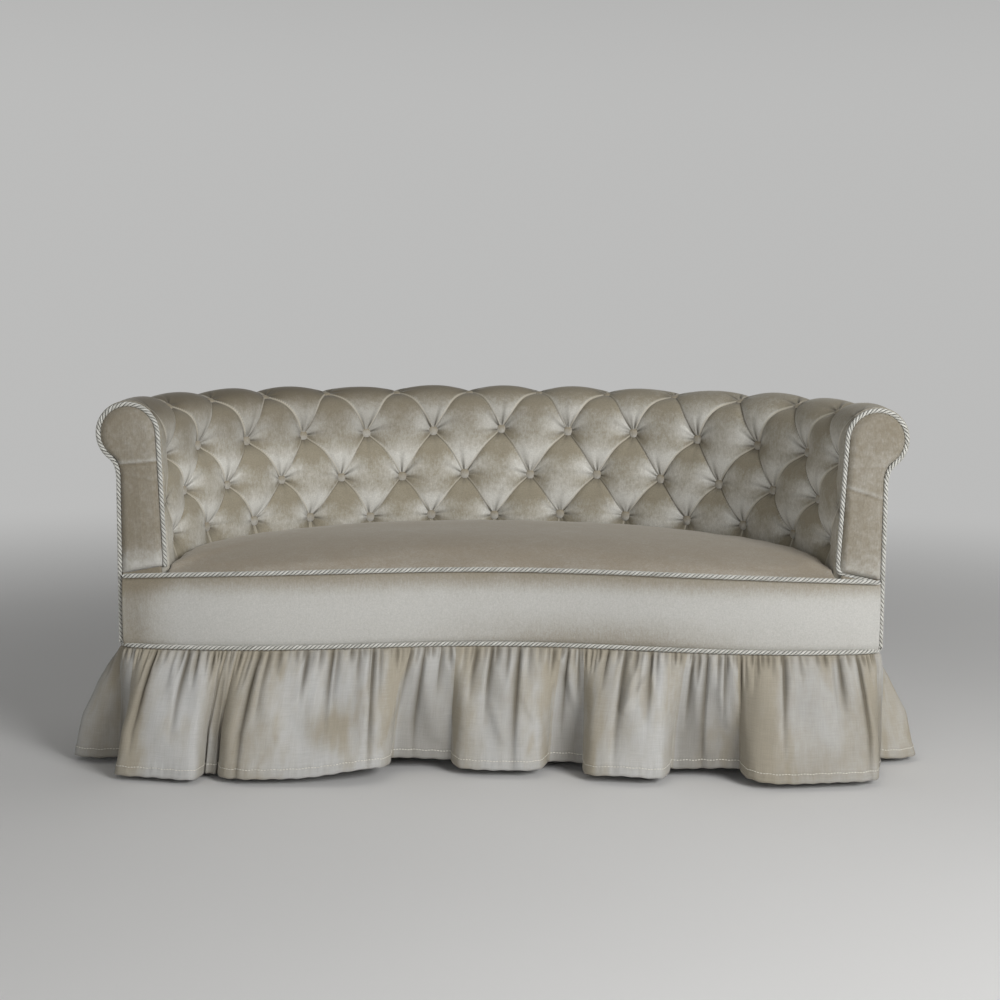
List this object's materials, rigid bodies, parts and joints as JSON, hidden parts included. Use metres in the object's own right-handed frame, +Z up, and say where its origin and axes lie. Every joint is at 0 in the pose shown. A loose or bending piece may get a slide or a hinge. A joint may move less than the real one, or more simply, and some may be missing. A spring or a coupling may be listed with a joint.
{
  "type": "kidney sofa",
  "caption": "Low kidney-shaped sofa with a deep-buttoned scroll-topped back curving into the arms, a sprung seat with a corded border and a gathered skirt.",
  "frame": {"origin": "on the floor at the middle of the sofa's box", "axes": "+X to the sitter's left across the width, +Y to the back, +Z up; the front faces -Y"},
  "size_m": [1.6299, 0.8662, 0.7205],
  "materials": {
    "velvet": "worn cotton velvet, grey sage with a pale sheen",
    "skirt_velvet": "worn cotton velvet, gathered, grey with brown patches",
    "cord": "twisted upholstery cord, silver grey",
    "beech": "plain sawn beech frame",
    "leg_wood": "stained and waxed turned beech",
    "jute": "woven jute webbing and hessian",
    "spring_steel": "bright coppered spring wire",
    "lining": "black dust cloth"
  },
  "bodies": {
    "root": {"back_hessian": "jute", "back_left_block": "beech", "back_left_leg": "leg_wood", "back_post_1": "beech", "back_post_2": "beech", "back_post_3": "beech", "back_post_4": "beech", "back_right_block": "beech", "back_right_leg": "leg_wood", "back_seat_rail": "beech", "back_top_rail": "beech", "base_cord": "cord", "buttoned_back": "velvet", "cross_webbing_1": "jute", "cross_webbing_2": "jute", "dust_cloth": "lining", "front_left_block": "beech", "front_left_leg": "leg_wood", "front_right_block": "beech", "front_right_leg": "leg_wood", "front_seat_rail": "beech", "left_arm_cord": "cord", "left_arm_panel": "velvet", "left_arm_post": "beech", "left_seat_rail": "beech", "left_top_rail": "beech", "outside_cover": "velvet", "right_arm_cord": "cord", "right_arm_panel": "velvet", "right_arm_post": "beech", "right_seat_rail": "beech", "right_top_rail": "beech", "seat_border": "velvet", "seat_edge_cord": "cord", "seat_pad": "velvet", "seat_spring_1": "spring_steel", "seat_spring_2": "spring_steel", "seat_spring_3": "spring_steel", "seat_spring_4": "spring_steel", "seat_spring_5": "spring_steel", "seat_spring_6": "spring_steel", "seat_spring_7": "spring_steel", "skirt_back": "skirt_velvet", "skirt_front": "skirt_velvet", "skirt_left": "skirt_velvet", "skirt_right": "skirt_velvet", "spring_hessian": "jute", "webbing_1": "jute", "webbing_2": "jute", "webbing_3": "jute", "webbing_4": "jute", "webbing_5": "jute", "webbing_6": "jute", "webbing_7": "jute"}
  },
  "joints": []
}
